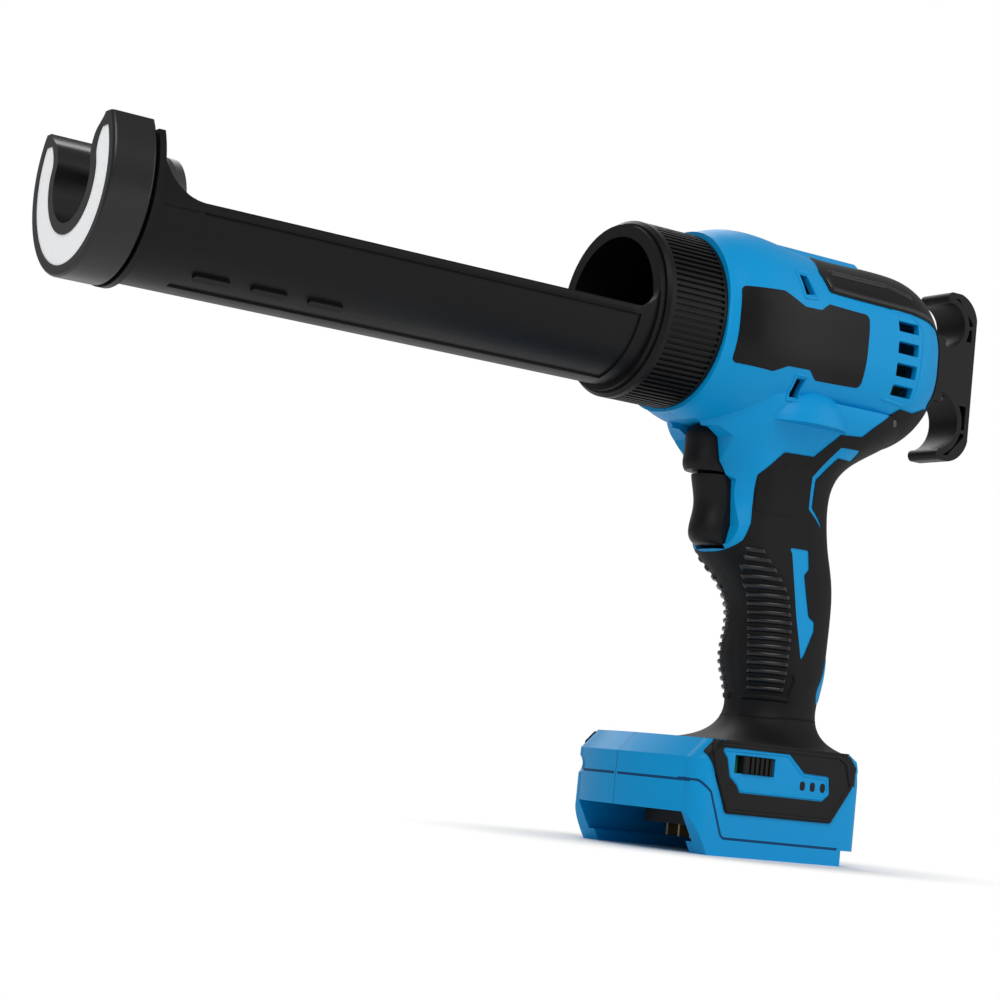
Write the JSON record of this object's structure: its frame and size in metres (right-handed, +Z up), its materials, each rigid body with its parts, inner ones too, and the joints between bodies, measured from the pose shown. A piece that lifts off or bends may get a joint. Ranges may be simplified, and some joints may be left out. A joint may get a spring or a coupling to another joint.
{
  "type": "cordless caulking gun",
  "caption": "Cordless caulking gun with an open cartridge cradle, lit nose ring, locking collar, geared push rod, pistol grip, triggers and a battery foot.",
  "frame": {"origin": "middle of the battery socket at the level of the foot's underside", "axes": "+X along the push rod towards the pull handle, +Z up the grip, -Y the side with the slide switch"},
  "size_m": [0.3763, 0.0757, 0.2256],
  "materials": {
    "blue_plastic": "satin",
    "black_plastic": "satin",
    "grip_rubber": "matte",
    "charcoal_plastic": "satin",
    "white_diffuser": "satin",
    "cast_aluminium": "matte",
    "plain_steel": "satin",
    "bearing_brass": "satin",
    "lead_rubber": "satin",
    "circuit_green": "satin",
    "lamp_plastic": "gloss"
  },
  "bodies": {
    "tool": {"rear_cover": "black_plastic", "housing_left": "blue_plastic", "housing_right": "blue_plastic", "grip_cover_left": "grip_rubber", "grip_cover_right": "grip_rubber", "side_plate_left": "black_plastic", "side_plate_right": "black_plastic", "base_panel_left": "black_plastic", "base_panel_right": "black_plastic", "bezel_left": "blue_plastic", "bezel_right": "blue_plastic", "gear_case": "cast_aluminium", "front_guide": "bearing_brass", "rear_guide": "bearing_brass", "shaft_bearings": "bearing_brass", "ring_gear": "plain_steel", "motor_can": "plain_steel", "motor_bushes": "bearing_brass", "trigger_spring": "plain_steel", "release_spring": "plain_steel", "switch_body": "black_plastic", "battery_leads": "lead_rubber", "terminal_block": "black_plastic", "terminal_blades": "bearing_brass", "circuit_board": "circuit_green", "indicator_board": "circuit_green", "indicator_lights": "lamp_plastic", "housing_screws": "plain_steel"},
    "cradle": {"cartridge_cradle": "black_plastic", "nose_ring": "black_plastic", "light_diffuser": "white_diffuser", "light_board": "circuit_green", "nose_screws": "plain_steel"},
    "collar": {"locking_collar": "black_plastic"},
    "rod": {"push_rod": "plain_steel", "piston_plate": "plain_steel", "piston_screw": "plain_steel", "pull_handle": "black_plastic", "handle_screw": "plain_steel"},
    "trigger": {"trigger": "charcoal_plastic"},
    "release": {"release_trigger": "charcoal_plastic"},
    "slider": {"slide_switch": "black_plastic"},
    "rotor": {"motor_rotor": "plain_steel", "sun_gear": "plain_steel", "motor_fan": "black_plastic"},
    "carrier": {"planet_carrier": "plain_steel", "worm_screw": "plain_steel"},
    "planet_1": {"planet_gear_1": "plain_steel"},
    "planet_2": {"planet_gear_2": "plain_steel"},
    "planet_3": {"planet_gear_3": "plain_steel"},
    "wheel": {"worm_wheel": "bearing_brass"},
    "pinion": {"pinion_shaft": "plain_steel", "drive_pinion": "plain_steel"},
    "sleeve": {"clutch_sleeve": "plain_steel"}
  },
  "joints": [
    {"name": "cradle_swivel", "type": "hinge", "parent": "tool", "child": "cradle", "pos_m": [-0.05, 0, 0.1888], "axis": [1, 0, 0], "continuous": true},
    {"name": "collar_turn", "type": "hinge", "parent": "tool", "child": "collar", "pos_m": [-0.05, 0, 0.1888], "axis": [1, 0, 0], "range_deg": [0, 90]},
    {"name": "rod_slide", "type": "slide", "parent": "tool", "child": "rod", "axis": [1, 0, 0], "range_m": [0, 0.198]},
    {"name": "trigger_slide", "type": "slide", "parent": "tool", "child": "trigger", "axis": [1, 0, 0], "range_m": [0, 0.006], "stiffness_N_per_m": 400, "springref_m": -0.003, "deforming": ["trigger_spring"]},
    {"name": "release_slide", "type": "slide", "parent": "tool", "child": "release", "axis": [1, 0, 0], "range_m": [0, 0.004], "stiffness_N_per_m": 400, "springref_m": -0.003, "deforming": ["release_spring"]},
    {"name": "slider_slide", "type": "slide", "parent": "tool", "child": "slider", "axis": [1, 0, 0], "range_m": [-0.003, 0]},
    {"name": "rotor_spin", "type": "hinge", "parent": "tool", "child": "rotor", "pos_m": [0.03, 0.0023, 0.2058], "axis": [1, 0, 0], "continuous": true},
    {"name": "carrier_spin", "type": "hinge", "parent": "tool", "child": "carrier", "pos_m": [0.03, 0.0023, 0.2058], "axis": [1, 0, 0], "continuous": true},
    {"name": "planet_1_spin", "type": "hinge", "parent": "carrier", "child": "planet_1", "pos_m": [0, 0.01018, 0.2058], "axis": [1, 0, 0], "continuous": true},
    {"name": "planet_2_spin", "type": "hinge", "parent": "carrier", "child": "planet_2", "pos_m": [0, -0.00164, 0.21262], "axis": [1, 0, 0], "continuous": true},
    {"name": "planet_3_spin", "type": "hinge", "parent": "carrier", "child": "planet_3", "pos_m": [0, -0.00164, 0.19898], "axis": [1, 0, 0], "continuous": true},
    {"name": "wheel_spin", "type": "hinge", "parent": "tool", "child": "wheel", "pos_m": [-0.02, 0.0138, 0.2058], "axis": [0, 0, 1], "continuous": true},
    {"name": "pinion_spin", "type": "hinge", "parent": "tool", "child": "pinion", "pos_m": [-0.02, 0.0138, 0.19], "axis": [0, 0, 1], "range_deg": [0, 1081]},
    {"name": "sleeve_slide", "type": "slide", "parent": "pinion", "child": "sleeve", "axis": [0, 0, 1], "range_m": [-0.0025, 0]}
  ],
  "couplings": [
    {"joint": "carrier_spin", "follows": "rotor_spin", "ratio": 0.28571},
    {"joint": "planet_1_spin", "follows": "rotor_spin", "ratio": -0.95238},
    {"joint": "planet_2_spin", "follows": "rotor_spin", "ratio": -0.95238},
    {"joint": "planet_3_spin", "follows": "rotor_spin", "ratio": -0.95238},
    {"joint": "wheel_spin", "follows": "rotor_spin", "ratio": -0.019048},
    {"joint": "pinion_spin", "follows": "rod_slide", "rad_per_m": 95.238},
    {"joint": "sleeve_slide", "follows": "release_slide", "ratio": -0.625}
  ]
}
